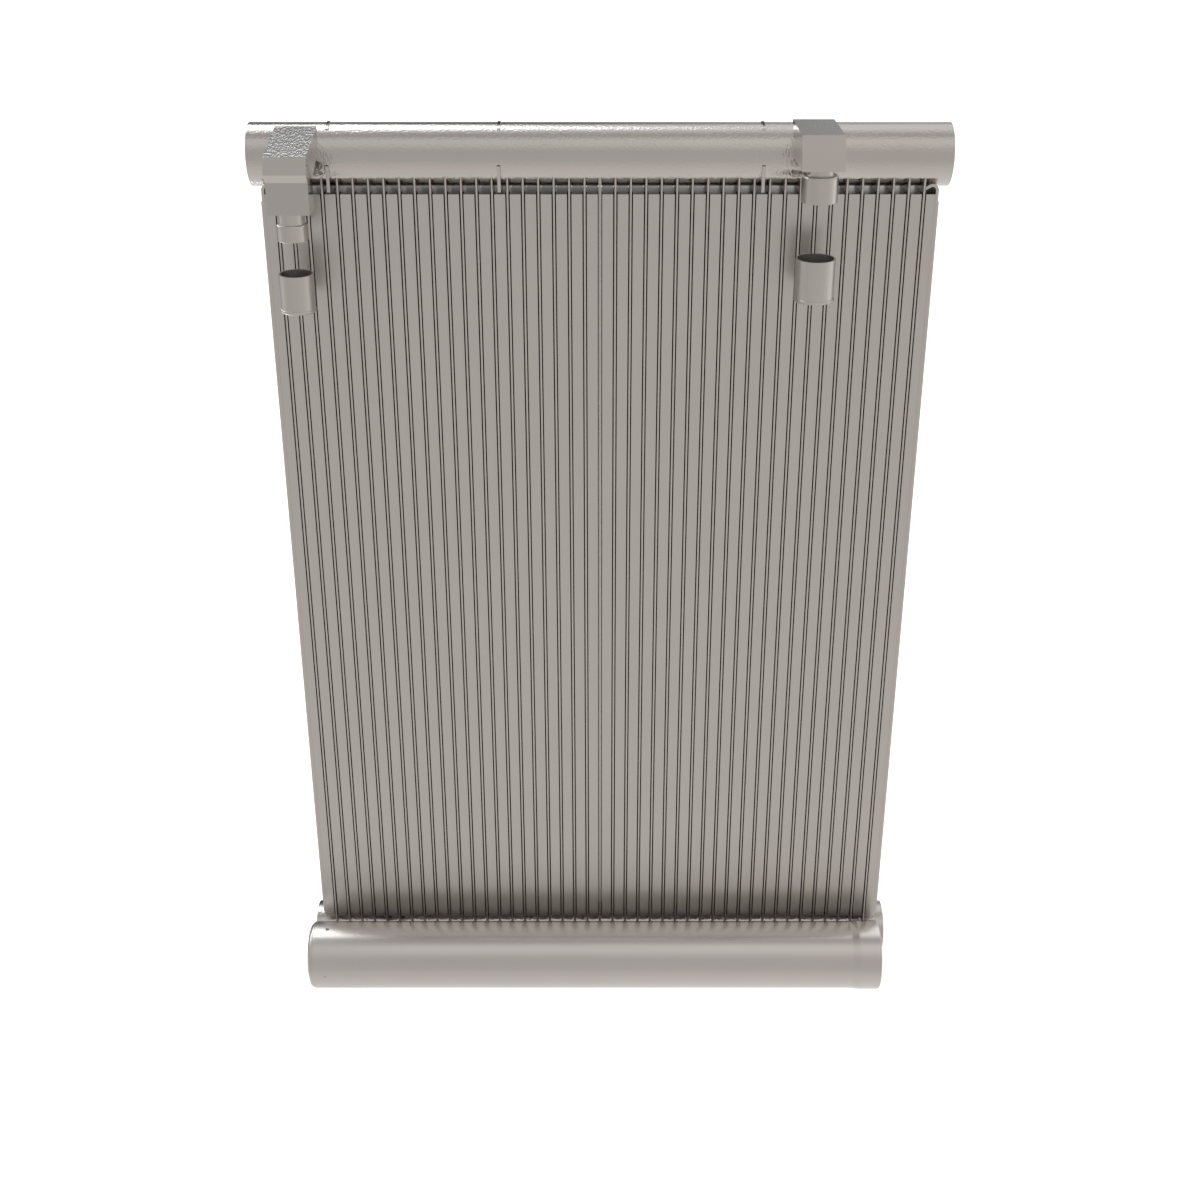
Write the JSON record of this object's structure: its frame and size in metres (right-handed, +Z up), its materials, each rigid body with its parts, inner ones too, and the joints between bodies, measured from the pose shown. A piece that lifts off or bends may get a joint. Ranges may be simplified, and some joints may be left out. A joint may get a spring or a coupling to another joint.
{
  "type": "vapor condenser",
  "caption": "Parallel-flow aluminium condenser with flat tubes and fins between two headers, a receiver and two capped port blocks.",
  "frame": {"origin": "centre of the footprint, under the feet of the lower header's baffles", "axes": "+Z up along the flat tubes, +X along the headers towards the inlet, +Y from the front face to the back"},
  "size_m": [0.347, 0.0716, 0.504],
  "materials": {
    "header_aluminium": "satin",
    "header_end_aluminium": "satin",
    "baffle_aluminium": "satin",
    "tube_aluminium": "satin",
    "fin_aluminium": "matte",
    "side_plate_aluminium": "satin",
    "block_aluminium": "satin",
    "spigot_aluminium": "satin",
    "cap_aluminium": "satin",
    "receiver_aluminium": "satin",
    "bridge_aluminium": "satin",
    "basket_aluminium": "satin",
    "bag_fabric": "matte"
  },
  "bodies": {
    "root": {"upper_header": "header_aluminium", "lower_header": "header_aluminium", "upper_end_left": "header_end_aluminium", "upper_end_right": "header_end_aluminium", "lower_end_left": "header_end_aluminium", "lower_end_right": "header_end_aluminium", "upper_baffle_1": "baffle_aluminium", "upper_baffle_2": "baffle_aluminium", "upper_baffle_3": "baffle_aluminium", "lower_baffle_1": "baffle_aluminium", "lower_baffle_2": "baffle_aluminium", "lower_baffle_3": "baffle_aluminium", "tubes_pass_1": "tube_aluminium", "tubes_pass_2": "tube_aluminium", "tubes_pass_3": "tube_aluminium", "tubes_pass_4": "tube_aluminium", "tubes_pass_5": "tube_aluminium", "tubes_pass_6": "tube_aluminium", "fins_pass_1": "fin_aluminium", "fins_pass_2": "fin_aluminium", "fins_pass_3": "fin_aluminium", "fins_pass_4": "fin_aluminium", "fins_pass_5": "fin_aluminium", "fins_pass_6": "fin_aluminium", "side_plate_left": "side_plate_aluminium", "side_plate_right": "side_plate_aluminium", "inlet_block": "block_aluminium", "outlet_block": "block_aluminium", "inlet_spigot": "spigot_aluminium", "outlet_spigot": "spigot_aluminium", "inlet_cap": "cap_aluminium", "outlet_cap": "cap_aluminium", "receiver_tube": "receiver_aluminium", "receiver_plug": "receiver_aluminium", "receiver_inlet_bridge": "bridge_aluminium", "receiver_outlet_bridge": "bridge_aluminium", "receiver_saddle": "bridge_aluminium", "stop_pins": "bridge_aluminium", "filter_basket": "basket_aluminium", "desiccant_bag": "bag_fabric"}
  },
  "joints": []
}
